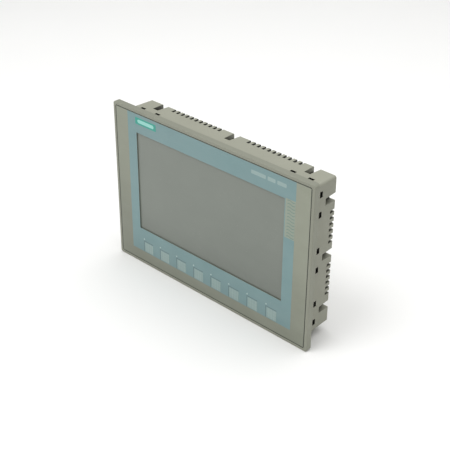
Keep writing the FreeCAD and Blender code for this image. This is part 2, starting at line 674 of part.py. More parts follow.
def make_cables(lcd_back):
    """Three flat cables from the display, keypad and touch screen to the main board."""
    thick = size("cable_thick")
    plug_y = BOARD_BACK + size("connector_thick") * 0.5
    half_plug = size("connector_narrow") * 0.5

    x, z, wide = size("lcd_cable_x"), size("lcd_cable_z"), size("lcd_cable_wide")
    plug_z = size("lcd_plug_z")
    cable("lcd_cable", "YZ_Plane", x - wide * 0.5, wide,
          [(lcd_back, z), (plug_y + thick, z), (plug_y + thick, plug_z), (plug_y, plug_z),
           (plug_y, z - thick), (lcd_back, z - thick)])

    x, z, wide = size("keypad_plug_x"), size("keypad_cable_z"), size("keypad_cable_wide")
    plug_z = size("keypad_plug_z") - half_plug
    keypad_back = size("keypad_front") + size("keypad_thick")
    cable("keypad_cable", "YZ_Plane", x - wide * 0.5, wide,
          [(keypad_back, z), (keypad_back, z + thick), (plug_y, z + thick), (plug_y, plug_z),
           (plug_y + thick, plug_z), (plug_y + thick, z)])

    x, z, wide = size("touch_cable_x"), size("touch_plug_z"), size("touch_cable_wide")
    plug_x = size("touch_plug_x") + half_plug
    glass_back = size("touch_front") + size("touch_thick")
    edge_x = size("touch_wide") * 0.5 - size("seal_inset")
    cable("touch_cable", "XY_Plane", z - wide * 0.5, wide,
          [(edge_x, glass_back), (x + thick, glass_back), (x + thick, plug_y + thick),
           (plug_x, plug_y + thick), (plug_x, plug_y), (x, plug_y), (x, glass_back + thick),
           (edge_x, glass_back + thick)])


# ---------------------------------------------------------------- connectors in the bay

def port_middle(port):
    """The middle of a connector's depth."""
    return BOARD_BACK + size(f"{port}_deep") * 0.5


def cut_mouth(body, x, middle, wide, deep, reach):
    mouth = new_sketch(body, "XY_Plane", size("bay_top_z"))
    add_centred(mouth, x, middle, wide, deep)
    pocket(body, mouth, reach)


def make_socket(label, port):
    """A connector shell on the board, its mouth flush with the bay's ceiling."""
    x, middle = size(f"{port}_x"), port_middle(port)
    body = new_body(label)
    shell = new_sketch(body, "XY_Plane", size("bay_top_z"))
    add_centred(shell, x, middle, size(f"{port}_wide"), size(f"{port}_deep"))
    pad(body, shell, size(f"{port}_long"))
    cut_mouth(body, x, middle, size(f"{port}_mouth_wide"), size(f"{port}_mouth_deep"),
              size(f"{port}_reach"))
    return body


def make_power_pins():
    body = new_body("power_pins", many_solids=True)
    ends = new_sketch(body, "XY_Plane", size("bay_top_z") + size("pin_sunk"))
    for way in (-1, 1):
        add_centred(ends, size("power_x") + size("pin_offset") * way, port_middle("power"),
                    size("pin_wide"), size("pin_wide"))
    pad(body, ends, size("power_reach") - size("pin_sunk"))


def make_ethernet():
    """The network socket with its latch notch, and the row of sprung contacts inside it."""
    socket = make_socket("ethernet_socket", "ethernet")
    x, middle = size("ethernet_x"), port_middle("ethernet")
    half_mouth = size("ethernet_mouth_deep") * 0.5
    cut_mouth(socket, x, middle + half_mouth + size("latch_deep") * 0.5, size("latch_wide"),
              size("latch_deep"), size("ethernet_reach"))
    body = new_body("ethernet_contacts", many_solids=True)
    strips = new_sketch(body, "XY_Plane", size("bay_top_z") + size("contact_sunk"))
    for k in range(CONTACT_COUNT):
        add_centred(strips, x + size("contact_pitch") * (k - (CONTACT_COUNT - 1) / 2),
                    middle - half_mouth + size("contact_thick") * 0.5,
                    size("contact_wide"), size("contact_thick"))
    pad(body, strips, size("ethernet_reach") - size("contact_sunk"))


def make_usb():
    """The USB socket and the plastic tongue inside it."""
    make_socket("usb_socket", "usb")
    body = new_body("usb_tongue")
    root = new_sketch(body, "XY_Plane", size("bay_top_z") + size("tongue_sunk"))
    add_centred(root, size("usb_x"), port_middle("usb") - size("tongue_shift"),
                size("tongue_wide"), size("tongue_thick"))
    pad(body, root, size("usb_reach") - size("tongue_sunk"))


# ---------------------------------------------------------------- rear housing

def draw_notch(sketch, along, wall, swap):
    """A clip notch that widens to the rear; `wall` draws the liner around it instead."""
    narrow = size("notch_narrow") * 0.5 + wall
    broad = size("notch_broad") * 0.5 + wall
    front = size("notch_front") - wall
    is_liner = as_size(wall).value > 0
    rear = size("housing_rear") + (-HALF_WALL if is_liner else size("overrun"))
    corners = [(along - narrow, front), (along + narrow, front),
               (along + broad, rear), (along - broad, rear)]
    add_polygon(sketch, [(v, u) for u, v in corners] if swap else corners)


def clip_features(body, plane, mirror_plane, places, slot_places, outer, swap):
    """Notch liners, notches, clip slots and their reliefs of one side, repeated on the other."""
    floor = outer - size("notch_deep")
    inside = outer - size("housing_wall") * 2
    liners = new_sketch(body, plane, floor - size("notch_wall"))
    notches = new_sketch(body, plane, floor)
    slots = new_sketch(body, plane, inside)
    reliefs = new_sketch(body, plane, inside)
    for along in places:
        draw_notch(liners, along, size("notch_wall"), swap)
        draw_notch(notches, along, as_size(0), swap)
    for along in slot_places:
        for offset in (-size("slot_offset"), size("slot_offset")):
            for sketch, margin in ((slots, as_size(0)), (reliefs, size("relief_margin") * 2)):
                centre = (along + offset, size("slot_y"))
                spread = (size("slot_long") + margin, size("slot_wide") + margin)
                if swap:
                    centre, spread = centre[::-1], spread[::-1]
                add_centred(sketch, *centre, *spread)
    mirror(body, pad(body, liners, size("notch_deep") + size("notch_wall") - HALF_WALL),
           mirror_plane)
    mirror(body, pocket(body, notches, size("notch_deep") + size("overrun")), mirror_plane)
    mirror(body, pocket(body, slots, outer - inside + size("overrun")), mirror_plane)
    mirror(body, pocket(body, reliefs, outer - inside - size("relief_stop")), mirror_plane)


def vent_row(sketch, middle, count, swap):
    """Parallel slots that run off the rear edge, `count` of them about a middle."""
    for k in range(count):
        along = middle + size("vent_pitch") * (k - (count - 1) / 2)
        low, high = along - size("vent_wide") * 0.5, along + size("vent_wide") * 0.5
        front, rear = size("vent_front"), size("housing_rear") + size("overrun")
        if swap:
            add_rectangle(sketch, front, low, rear, high)
        else:
            add_rectangle(sketch, low, front, high, rear)


def make_housing():
    body = new_body("rear_housing")
    front, rear, wall = size("bezel_back"), size("housing_rear"), size("housing_wall")
    front_x, front_z = size("housing_front_x"), size("housing_front_z")
    lean, deep = size("housing_lean"), rear - front
    draft = Size(-math.degrees(math.atan(lean.value / deep.value)),
                 f"-atan({lean.formula} / {deep.formula})")
    outside = new_sketch(body, "XZ_Plane", front)
    add_rounded(outside, 0, 0, front_x, front_z, size("housing_corner"))
    bind(pad(body, outside, deep), "TaperAngle", draft)
    fillet(body, size("housing_round"), lambda edge: lies_at_y(edge, rear))
    inside = new_sketch(body, "XZ_Plane", front)
    add_rounded(inside, 0, 0, front_x - wall, front_z - wall, size("housing_corner") - wall)
    bind(pocket(body, inside, deep - wall), "TaperAngle", draft)

    # Screw posts reach from the rear wall to the carrier plate.
    posts = new_sketch(body, "XZ_Plane", CARRIER_BACK)
    for x, z in POSTS:
        add_circle(posts, x, z, size("post_radius"))
    pad(body, posts, rear - HALF_WALL - CARRIER_BACK)

    # The connector bay's ceiling and side walls, then the bay itself.
    bay_wall = size("bay_wall")
    left, right, bay_front = size("bay_left"), size("bay_right"), size("bay_front")
    liner = new_sketch(body, "XY_Plane", HALF_WALL - HOUSING_REAR_Z)
    add_rectangle(liner, left - bay_wall, bay_front - bay_wall, right + bay_wall,
                  rear - HALF_WALL)
    pad(body, liner, size("bay_top_z") + bay_wall + HOUSING_REAR_Z - HALF_WALL)

    clip_features(body, "XY_Plane", "XY_Plane", [-size("clip_x"), as_size(0), size("clip_x")],
                  [-size("clip_x"), size("clip_x")], HOUSING_REAR_Z, swap=False)
    clip_features(body, "YZ_Plane", "YZ_Plane", [-size("clip_z"), as_size(0), size("clip_z")],
                  [-size("clip_z"), as_size(0), size("clip_z")], HOUSING_REAR_X, swap=True)

    overrun = size("overrun")
    bay = new_sketch(body, "XY_Plane", -size("housing_front_z") - overrun)
    add_rectangle(bay, left, bay_front, right, rear + overrun)
    pocket(body, bay, size("bay_top_z") + size("housing_front_z") + overrun)

    ports = new_sketch(body, "XY_Plane", size("bay_top_z") - overrun)
    slack = size("port_slack") * 2
    for port in ("power", "ethernet", "usb"):
        add_centred(ports, size(f"{port}_x"), port_middle(port), size(f"{port}_wide") + slack,
                    size(f"{port}_deep") + slack)
    pocket(body, ports, bay_wall + overrun * 2)

    wrap = size("vent_wrap")
    top = new_sketch(body, "XY_Plane", HOUSING_REAR_Z - wrap)
    vent_row(top, -size("vent_top_x"), VENTS_PER_TOP_GROUP, swap=False)
    vent_row(top, size("vent_top_x"), VENTS_PER_TOP_GROUP, swap=False)
    pocket(body, top, wrap + overrun)
    bottom = new_sketch(body, "XY_Plane", wrap - HOUSING_REAR_Z)
    vent_row(bottom, size("vent_top_x"), VENTS_PER_TOP_GROUP, swap=False)
    pocket(body, bottom, wrap + overrun, way=-1)
    side = new_sketch(body, "YZ_Plane", HOUSING_REAR_X - wrap)
    vent_row(side, -size("vent_side_z"), VENTS_PER_SIDE_GROUP, swap=True)
    vent_row(side, size("vent_side_z"), VENTS_PER_SIDE_GROUP, swap=True)
    mirror(body, pocket(body, side, wrap + overrun), "YZ_Plane")

    wells = new_sketch(body, "XZ_Plane", size("well_bottom"))
    shank_holes = new_sketch(body, "XZ_Plane", CARRIER_BACK)
    for x, z in POSTS:
        add_circle(wells, x, z, size("well_radius"))
        add_circle(shank_holes, x, z, size("screw_clear"))
    pocket(body, wells, rear + overrun - size("well_bottom"))
    pocket(body, shank_holes, size("well_bottom") - CARRIER_BACK + overrun)

    earth_x, earth_z = size("earth_x"), size("earth_z")
    boss_front = rear - size("earth_long") - size("earth_boss_wall")
    boss = new_sketch(body, "XZ_Plane", boss_front)
    add_circle(boss, earth_x, earth_z, size("earth_radius") + size("earth_boss_wall"))
    pad(body, boss, rear - HALF_WALL - boss_front)
    hole = new_sketch(body, "XZ_Plane", rear - size("earth_long"))
    add_circle(hole, earth_x, earth_z, size("earth_radius"))
    pocket(body, hole, size("earth_long") + overrun)


def make_rear_pieces():
    screws("housing_screws", POSTS, size("well_bottom"), size("screw_tip"))

    def insert(sketch):
        add_circle(sketch, size("earth_x"), size("earth_z"), size("earth_radius"))
        add_circle(sketch, size("earth_x"), size("earth_z"), size("earth_bore"))
    flat_piece("earth_insert", size("housing_rear") - size("earth_long"), size("earth_long"), insert)

    def label(sketch):
        add_rounded(sketch, size("label_x"), size("label_z"), size("label_wide") * 0.5,
                    size("label_tall") * 0.5, size("label_corner"))
    flat_piece("rating_plate", size("housing_rear"), size("label_thick"), label)


# ---------------------------------------------------------------- the whole panel

make_bezel()
flat_piece("front_overlay", size("bezel_front"), size("recess_deep"), draw_overlay)
for number, key_x in enumerate(key_places(), start=1):
    make_key(number, key_x)
make_domes()
make_keypad_board()
flat_piece("mounting_gasket", -size("gasket_sunk"), size("gasket_sunk"), draw_gasket)
make_touch_screen()
display_back = make_display()
make_carrier()
make_main_board()
make_capacitors()
make_processor()
make_cables(display_back)
make_socket("power_header", "power")
make_power_pins()
make_ethernet()
make_usb()
make_housing()
make_rear_pieces()
doc.recompute()


def check_and_export():
    """Refuse failed features and bad shapes, then write one file for each piece."""
    failed = [item.Label for item in doc.Objects
              if "Invalid" in item.State or "Error" in item.State]
    if failed:
        raise RuntimeError(f"failed features: {failed}")
    pieces = [item for item in doc.Objects
              if item.TypeId in ("PartDesign::Body", "Part::Box")]
    for piece in pieces:
        if piece.Shape.isNull() or not piece.Shape.isValid() or piece.Shape.Volume <= 0:
            raise RuntimeError(f"bad shape: {piece.Label}")
    os.makedirs("parts", exist_ok=True)
    for piece in pieces:
        piece.Shape.exportStep(os.path.join("parts", f"{piece.Label}.step"))
        box = piece.Shape.BoundBox
        print(f"{piece.Label:20s} solids {len(piece.Shape.Solids)}  "
              f"x {box.XMin:8.2f} {box.XMax:8.2f}  y {box.YMin:7.2f} {box.YMax:7.2f}  "
              f"z {box.ZMin:7.2f} {box.ZMax:7.2f}")
    print(f"{len(pieces)} pieces")


check_and_export()
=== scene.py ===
"""The looks of the operator touch panel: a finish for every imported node, the print on its front film
and on its rating plate, a pale floor, soft light and the camera.

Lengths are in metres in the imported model's frame: +X is to the right of someone who faces the screen,
+Y points into the cabinet and +Z is up. Colours are sRGB, from 0 to 255."""

import math

import bmesh
import bpy
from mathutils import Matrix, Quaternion, Vector


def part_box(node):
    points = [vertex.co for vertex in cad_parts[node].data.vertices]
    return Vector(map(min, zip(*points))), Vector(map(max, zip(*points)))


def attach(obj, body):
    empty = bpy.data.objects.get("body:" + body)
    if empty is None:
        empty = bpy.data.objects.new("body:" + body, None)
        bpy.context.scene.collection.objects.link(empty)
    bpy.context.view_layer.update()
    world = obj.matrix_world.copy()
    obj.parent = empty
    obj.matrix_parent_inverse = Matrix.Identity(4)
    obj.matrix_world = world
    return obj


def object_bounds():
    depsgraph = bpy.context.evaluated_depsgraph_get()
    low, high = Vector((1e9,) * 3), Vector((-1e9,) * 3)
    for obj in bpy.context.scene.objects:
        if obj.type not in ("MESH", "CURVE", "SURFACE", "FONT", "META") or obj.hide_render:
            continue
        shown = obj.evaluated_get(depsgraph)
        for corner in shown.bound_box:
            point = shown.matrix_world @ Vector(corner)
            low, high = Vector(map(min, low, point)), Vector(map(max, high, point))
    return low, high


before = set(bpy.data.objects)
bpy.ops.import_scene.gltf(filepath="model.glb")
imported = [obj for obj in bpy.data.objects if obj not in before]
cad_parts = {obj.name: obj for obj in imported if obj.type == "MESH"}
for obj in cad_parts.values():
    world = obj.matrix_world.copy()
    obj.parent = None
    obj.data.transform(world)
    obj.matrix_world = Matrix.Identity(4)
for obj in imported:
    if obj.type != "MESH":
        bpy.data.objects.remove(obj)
cad_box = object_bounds()
MM = 0.001

# ---------------------------------------------------------------- places, from the frame

film_low, film_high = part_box("front_overlay")
plate_low, plate_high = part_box("rating_plate")
housing_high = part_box("rear_housing")[1]
key_boxes = [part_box(f"function_key_{number}") for number in range(1, 9)]

# The screen's window in the printed field, and half of the opening that each key has in it
WINDOW_HALF_WIDTH = 99.5 * MM
WINDOW_LOW = -46.9 * MM
WINDOW_HIGH = 65.9 * MM
KEY_HALF_WIDTH = 12.72 * MM / 2
KEY_HALF_HEIGHT = 11.52 * MM / 2

# The clip slots: their middle and half width along Y, and where along X the upper and lower ones begin
SLOT_MIDDLE = 14.3 * MM
SLOT_HALF_WIDTH = 2.0 * MM
SLOTS_BEYOND_X = 86 * MM

# The edges of the blue field
FIELD_LEFT = film_low.x + 17.6 * MM
FIELD_RIGHT = film_high.x - 17.3 * MM
FIELD_LOW = film_low.z + 12.2 * MM
FIELD_HIGH = film_high.z - 0.5 * MM

# The visible sides of the field, of what is printed on it, and of what is printed on that
INK_THICKNESS = 0.025 * MM
FIELD_FRONT = film_low.y - INK_THICKNESS
MARK_FRONT = film_low.y - 2 * INK_THICKNESS
TOP_FRONT = MARK_FRONT - INK_THICKNESS

# ---------------------------------------------------------------- colours

BLUE_INK = (120, 151, 153)
GREY_FILM = (143, 147, 131)
KEY_BLUE = (139, 161, 158)
# Painted shadow along the keys' left and top edges
KEY_EDGE_SHADOW = (86, 109, 112)
PALE_INK = (190, 209, 206)
STRIP_INK = (147, 158, 143)
STRIP_MARK = (121, 143, 133)
TITLE_INK = (149, 173, 171)
BADGE_INK = (42, 158, 141)
BADGE_MARK = (150, 215, 205)
PLATE_INK = (84, 88, 88)
SCREEN = (121, 127, 119)
BEZEL = (146, 148, 134)
HOUSING = (150, 151, 137)
# Painted shade inside deep openings
HOLLOW_SHADE = (24, 25, 24)
# Painted shadow in the groove round the film
FILM_GROOVE_SHADE = (70, 76, 68)
FILM_SMEAR = (255, 255, 250)
FILM_DUST = (235, 236, 228)
GLASS_DUST = (214, 214, 204)
RUBBER_DUST = (118, 118, 112)
BOARD_GREENS = ((28, 92, 58), (36, 108, 68))
BOARD_TRACK = (62, 138, 88)
BOARD_PAD = (176, 178, 160)
ACRYLIC_TINTS = ((226, 233, 232), (238, 243, 242))
FOIL_GREYS = ((176, 178, 174), (196, 198, 194))
FOIL_SMEAR = (206, 207, 202)
FOIL_EDGE = (226, 227, 222)
FLOOR_WHITES = ((246, 246, 245), (249, 249, 248))


def linear(colour):
    """An sRGB colour's linear channels with an alpha of 1."""
    shares = [channel / 255 for channel in colour]
    return [(s / 12.92 if s <= 0.04045 else ((s + 0.055) / 1.055) ** 2.4) for s in shares] + [1.0]


def scaled(colour, factor):
    """A colour with its channels multiplied, none of them past white."""
    return [min(255, channel * factor) for channel in colour]


# ---------------------------------------------------------------- finishes

# The range that most of a noise texture's values lie in
NOISE_LOW, NOISE_HIGH = 0.3, 0.7
# About the distance, in metres, between the lines of a wave texture whose scale is 1
WAVE_REPEAT = 0.3
# The Mix node's sockets for a share and for colours, among those for its other types
MIX_SHARE, MIX_FIRST, MIX_SECOND, MIX_RESULT = 0, 6, 7, 2
FILM_ROUGHNESS = 0.38


class Finish:
    """One material: nodes, added a call at a time, that feed its Principled shader."""

    def __init__(self, name, metallic=0.0, specular=0.5, coat=0.0, coat_roughness=0.2, sheen=0.0):
        self.material = bpy.data.materials.new(name)
        self.material.use_nodes = True
        self.nodes = self.material.node_tree.nodes
        self.links = self.material.node_tree.links
        self.shader = self.nodes["Principled BSDF"]
        self.shader.inputs["Metallic"].default_value = metallic
        self.shader.inputs["Specular IOR Level"].default_value = specular
        self.shader.inputs["Coat Weight"].default_value = coat
        self.shader.inputs["Coat Roughness"].default_value = coat_roughness
        self.shader.inputs["Sheen Weight"].default_value = sheen
        self.place = self.add("TexCoord").outputs["Object"]
        self.relief = None

    def feed(self, socket, value):
        """Gives a socket a number or another node's output."""
        if isinstance(value, bpy.types.NodeSocket):
            self.links.new(value, socket)
        else:
            socket.default_value = value

    def add(self, kind, inputs=None, **settings):
        """A new node with its settings, and its inputs as numbers or as other nodes' outputs."""
        node = self.nodes.new("ShaderNode" + kind)
        for name, value in settings.items():
            setattr(node, name, value)
        for socket, value in (inputs or {}).items():
            self.feed(node.inputs[socket], value)
        return node

    def noise(self, lump, detail, stretch=(1, 1, 1)):
        """Smooth noise from 0 to 1 whose lumps are `lump` metres across, times the stretch."""
        squeeze = [1 / (lump * share) for share in stretch]
        place = self.add("Mapping", {"Vector": self.place, "Scale": squeeze}).outputs["Vector"]
        noise = self.add("TexNoise", {"Vector": place, "Scale": 1.0, "Detail": detail})
        return noise.outputs["Fac"]

    def cells(self, width):
        """The distance to the nearest of points scattered `width` metres apart, in those widths."""
        return self.add("TexVoronoi", {"Vector": self.place, "Scale": 1 / width}).outputs["Distance"]

    def spread(self, value, low, high, new_low=0.0, new_high=1.0):
        """The value moved from one range to another and held inside it."""
        limits = {"From Min": low, "From Max": high, "To Min": new_low, "To Max": new_high}
        return self.add("MapRange", {"Value": value, **limits}).outputs["Result"]

    def between(self, noise, low=0.0, high=1.0):
        """A noise stretched until it runs from one value to the other."""
        return self.spread(noise, NOISE_LOW, NOISE_HIGH, low, high)

    def maths(self, operation, first, second=0.0):
        """What an operation makes of one or two values, each a number or another node's output."""
        return self.add("Math", {0: first, 1: second}, operation=operation).outputs["Value"]

    def mix(self, share, first, second):
        """A colour between two colours, each an sRGB triple or another node's output."""
        node = self.add("Mix", {MIX_SHARE: share}, data_type="RGBA")
        for socket, colour in ((MIX_FIRST, first), (MIX_SECOND, second)):
            is_output = isinstance(colour, bpy.types.NodeSocket)
            self.feed(node.inputs[socket], colour if is_output else linear(colour))
        return node.outputs[MIX_RESULT]

    def cover(self, body, mask, strength, colour):
        """The body's colour with another laid over it: by `strength` where the mask is 1."""
        return self.mix(self.maths("MULTIPLY", mask, strength), body, colour)

    def axis(self, name):
        """One coordinate of the point, in metres."""
        return self.add("SeparateXYZ", {"Vector": self.place}).outputs[name]

    def distance(self, name):
        """How far the point lies from the panel's middle along an axis, to either side."""
        return self.maths("ABSOLUTE", self.axis(name))

    def facing(self, name):
        """How much of the surface's normal points along an axis."""
        normal = self.add("NewGeometry").outputs["True Normal"]
        return self.add("SeparateXYZ", {"Vector": normal}).outputs[name]

    def turned(self, name):
        """How much of the surface's normal points either way along an axis."""
        return self.maths("ABSOLUTE", self.facing(name))

    def rounded_normal(self, radius):
        """The surface's normal, rounded within `radius` of its sharp edges."""
        return self.add("Bevel", {"Radius": radius}, samples=6).outputs["Normal"]

    def edges(self, reach):
        """1 on the piece's sharp edges and 0 beyond `reach` of them."""
        rounded = self.rounded_normal(reach)
        flat = self.add("NewGeometry").outputs["True Normal"]
        dot = self.add("VectorMath", {0: rounded, 1: flat}, operation="DOT_PRODUCT")
        return self.spread(dot.outputs["Value"], 0.99, 0.82)

    def corners(self, reach, open_share=0.85, closed_share=0.35):
        """1 where the piece itself leaves no more than the closed share of the view free, 0 from the
        open share up."""
        view = self.add("AmbientOcclusion", {"Distance": reach}, samples=8, only_local=True)
        return self.spread(view.outputs["AO"], open_share, closed_share)

    def emboss(self, height, depth, strength):
        """Raise the surface by `depth` metres where the height is 1, over what is already raised."""
        inputs = {"Height": height, "Distance": depth, "Strength": strength}
        if self.relief is not None:
            inputs["Normal"] = self.relief
        self.relief = self.add("Bump", inputs).outputs["Normal"]

    def done(self, colour, roughness):
        """The material, once its colour, roughness and relief are linked to the shader."""
        self.feed(self.shader.inputs["Base Color"], colour)
        self.feed(self.shader.inputs["Roughness"], roughness)
        if self.relief is not None:
            self.feed(self.shader.inputs["Normal"], self.relief)
        return self.material


def slot_wall_shade(finish):
    """1 on the cut faces of the housing's clip slots, where painted shade goes: in their band of Y,
    close under the skin, and turned away from it."""
    across = finish.maths("ABSOLUTE", finish.maths("SUBTRACT", finish.axis("Y"), SLOT_MIDDLE))
    band = finish.spread(across, SLOT_HALF_WIDTH + 0.5 * MM, SLOT_HALF_WIDTH + 0.2 * MM)
    far_x, far_z = finish.distance("X"), finish.distance("Z")
    depth_clear, depth_full = 4 * MM, 3 * MM
    beside = finish.spread(far_x, housing_high.x - depth_clear, housing_high.x - depth_full)
    above = finish.spread(far_z, housing_high.z - depth_clear, housing_high.z - depth_full)
    skin_x = finish.maths("MULTIPLY", beside, finish.turned("X"))
    skin_z = finish.maths("MULTIPLY", above, finish.turned("Z"))
    off_skin = finish.spread(finish.maths("MAXIMUM", skin_x, skin_z), 0.6, 0.3)
    outer = finish.spread(far_x, SLOTS_BEYOND_X - 1 * MM, SLOTS_BEYOND_X)
    near_skin = finish.maths("MAXIMUM", beside, finish.maths("MULTIPLY", above, outer))
    return finish.maths("MULTIPLY", band, finish.maths("MULTIPLY", near_skin, off_skin))


def notch_wall_shade(finish):
    """How much painted shade darkens the walls of the notches and vents in the housing's top and
    underside,
    from 0 to 1: it grows with depth and, in the notches, to the left."""
    walls = finish.spread(finish.turned("X"), 0.5, 0.8)
    deepest, shallower = 11 * MM, 10 * MM
    high = finish.spread(finish.distance("Z"), housing_high.z - deepest, housing_high.z - shallower)
    # Painted shade in the notches, growing toward the left
    left = finish.spread(finish.axis("X"), 60 * MM, -100 * MM, 0.0, 0.8)
    notches = finish.maths("MULTIPLY", left, finish.corners(14 * MM, 0.82, 0.5))
    vents = finish.maths("MULTIPLY", finish.corners(4 * MM, 0.99, 0.84), 0.92)
    deep = finish.maths("MAXIMUM", notches, vents)
    return finish.maths("MULTIPLY", finish.maths("MULTIPLY", walls, high), deep)


def housing_hollow_shade(finish):
    """How much painted shade darkens the housing's slots, notches and vents inside."""
    return finish.maths("MAXIMUM", slot_wall_shade(finish), notch_wall_shade(finish))


def no_hollow_shade(finish):
    """For a moulding with no openings of its own to darken with painted shade."""
    return 0.0


def moulded_plastic(name, colour, roughness, grain=0.5 * MM, depth=0.02 * MM, top_shade=0.0,
                    hollow_shade=no_hollow_shade):
    """Spark-textured moulding: cloudy colour, edges brightened by wear and by painted highlight, a few
    scuffs, and painted shade in the corners, in deep openings and hollows, and on faces that look up."""
    finish = Finish(name, specular=0.4)
    edge = 0.35 * MM
    clouds = finish.noise(38 * MM, 3)
    body = finish.mix(clouds, scaled(colour, 0.965), scaled(colour, 1.035))
    speckle = finish.spread(finish.noise(0.45 * MM, 1), 0.35, 0.65)
    body = finish.cover(body, speckle, 0.25, scaled(colour, 0.9))
    # Brighter edges: partly rubbed by wear, partly painted highlight
    rubbing = finish.between(finish.noise(9 * MM, 3), 0.15, 0.6)
    wear_and_highlight = finish.maths("MULTIPLY", finish.edges(edge), rubbing)
    body = finish.mix(wear_and_highlight, body, scaled(colour, 1.16))
    # Painted shade in the corners, where the piece itself closes the view
    body = finish.cover(body, finish.corners(9 * MM, 0.7, 0.35), 0.55, scaled(colour, 0.6))
    # Painted shade, nearly black, in deep openings and in the hollows that the shade function marks
    depth_shade = finish.maths("MAXIMUM", finish.corners(6.5 * MM, 0.74, 0.52), hollow_shade(finish))
    body = finish.cover(body, depth_shade, 0.94, HOLLOW_SHADE)
    # Painted shade on faces that look up
    top_shade_share = finish.spread(finish.facing("Z"), 0.6, 0.95, 0.0, top_shade)
    body = finish.mix(top_shade_share, body, scaled(colour, 0.6))
    scuffs = finish.spread(finish.noise(2.2 * MM, 4, (9, 9, 0.35)), 0.66, 0.76)
    body = finish.cover(body, scuffs, 0.18, scaled(colour, 1.18))
    patches = finish.between(finish.noise(16 * MM, 4), roughness - 0.07, roughness + 0.07)
    rough = finish.maths("SUBTRACT", patches, finish.maths("MULTIPLY", wear_and_highlight, 0.15))
    finish.relief = finish.rounded_normal(edge)
    finish.emboss(finish.noise(grain, 2), depth, 0.5)
    finish.emboss(scuffs, 0.01 * MM, 0.3)
    return finish.done(body, rough)


def film_surface(finish, colour, roughness=FILM_ROUGHNESS):
    """The satin skin of a printed polyester film over a colour."""
    smears = finish.noise(26 * MM, 4, (1.6, 1, 0.7))
    body = finish.mix(finish.between(smears), colour, finish.mix(0.035, colour, FILM_SMEAR))
    specks = finish.spread(finish.cells(3.1 * MM), 0.09, 0.05)
    body = finish.cover(body, specks, 0.16, FILM_DUST)
    rough = finish.between(smears, roughness - 0.06, roughness + 0.08)
    scratches = finish.spread(finish.noise(0.9 * MM, 3, (16, 1, 1.1)), 0.71, 0.78)
    rough = finish.maths("ADD", rough, finish.maths("MULTIPLY", scratches, 0.12))
    finish.emboss(finish.noise(0.35 * MM, 1), 0.008 * MM, 0.35)
    return finish.done(body, rough)


def overlay_film():
    """Warm grey film, paler toward its upper right by painted light and darker toward its lower left by
    painted shade, with a painted shadow along its edge in the groove round it.
    """
    finish = Finish("overlay_film", specular=0.45)
    # Painted light and shade: paler toward the upper right, darker toward the lower left
    sideways = finish.maths("MULTIPLY", finish.axis("X"), 0.26)
    height = finish.maths("ADD", finish.axis("Z"), sideways)
    painted_light_ramp = finish.spread(height, -84 * MM, 82 * MM)
    tone = finish.maths("ADD", painted_light_ramp, finish.between(finish.noise(45 * MM, 3), -0.12, 0.12))
    ground = finish.mix(tone, scaled(GREY_FILM, 0.885), scaled(GREY_FILM, 1.04))
    # Painted shadow along the film's outer edge, down in the groove
    rim_width = 0.45 * MM
    beyond_x = finish.maths("SUBTRACT", finish.distance("X"), film_high.x - rim_width)
    beyond_z = finish.maths("SUBTRACT", finish.distance("Z"), film_high.z - rim_width)
    rim = finish.spread(finish.maths("MAXIMUM", beyond_x, beyond_z), -0.15 * MM, 0.1 * MM)
    return film_surface(finish, finish.cover(ground, rim, 0.75, FILM_GROOVE_SHADE))


def printed_ink(name, colour, vary=0.025, roughness=FILM_ROUGHNESS):
    """One of the film's plain printed colours, slightly uneven."""
    finish = Finish(name, specular=0.45)
    tone = finish.noise(40 * MM, 3)
    body = finish.mix(tone, scaled(colour, 1 - vary), scaled(colour, 1 + vary))
    return film_surface(finish, body, roughness)


def blue_ink():
    """The blue of the printed field, with painted shade that darkens it toward the bottom, round the
    keys.
    """
    finish = Finish("blue_ink", specular=0.45)
    # Painted shade: the field grows darker toward its bottom
    height = finish.spread(finish.axis("Z"), -76 * MM, -38 * MM, 0.0, 0.85)
    tone = finish.maths("ADD", height, finish.between(finish.noise(40 * MM, 3), -0.2, 0.35))
    body = finish.mix(tone, scaled(BLUE_INK, 0.95), BLUE_INK)
    return film_surface(finish, body)


def key_film():
    """Light film over a key: a paler rim where it is pressed out, and the faint lines of its insert."""
    finish = Finish("key_film", specular=0.45)
    tone = finish.noise(7 * MM, 3)
    body = finish.mix(tone, scaled(KEY_BLUE, 0.96), scaled(KEY_BLUE, 1.04))
    line_gap = 3.3 * MM
    for direction, share in (("X", 0.32), ("Z", 0.14)):
        inputs = {"Vector": finish.place, "Scale": WAVE_REPEAT / line_gap, "Distortion": 0.0}
        wave_lines = finish.add("TexWave", inputs, wave_type="BANDS", bands_direction=direction)
        lines = finish.spread(wave_lines.outputs["Fac"], 0.45, 0.95, 0.0, share)
        body = finish.mix(lines, body, scaled(KEY_BLUE, 1.12))
    body = finish.cover(body, finish.edges(0.5 * MM), 0.4, scaled(KEY_BLUE, 1.1))
    finish.relief = finish.rounded_normal(0.2 * MM)
    return film_surface(finish, body, 0.36)


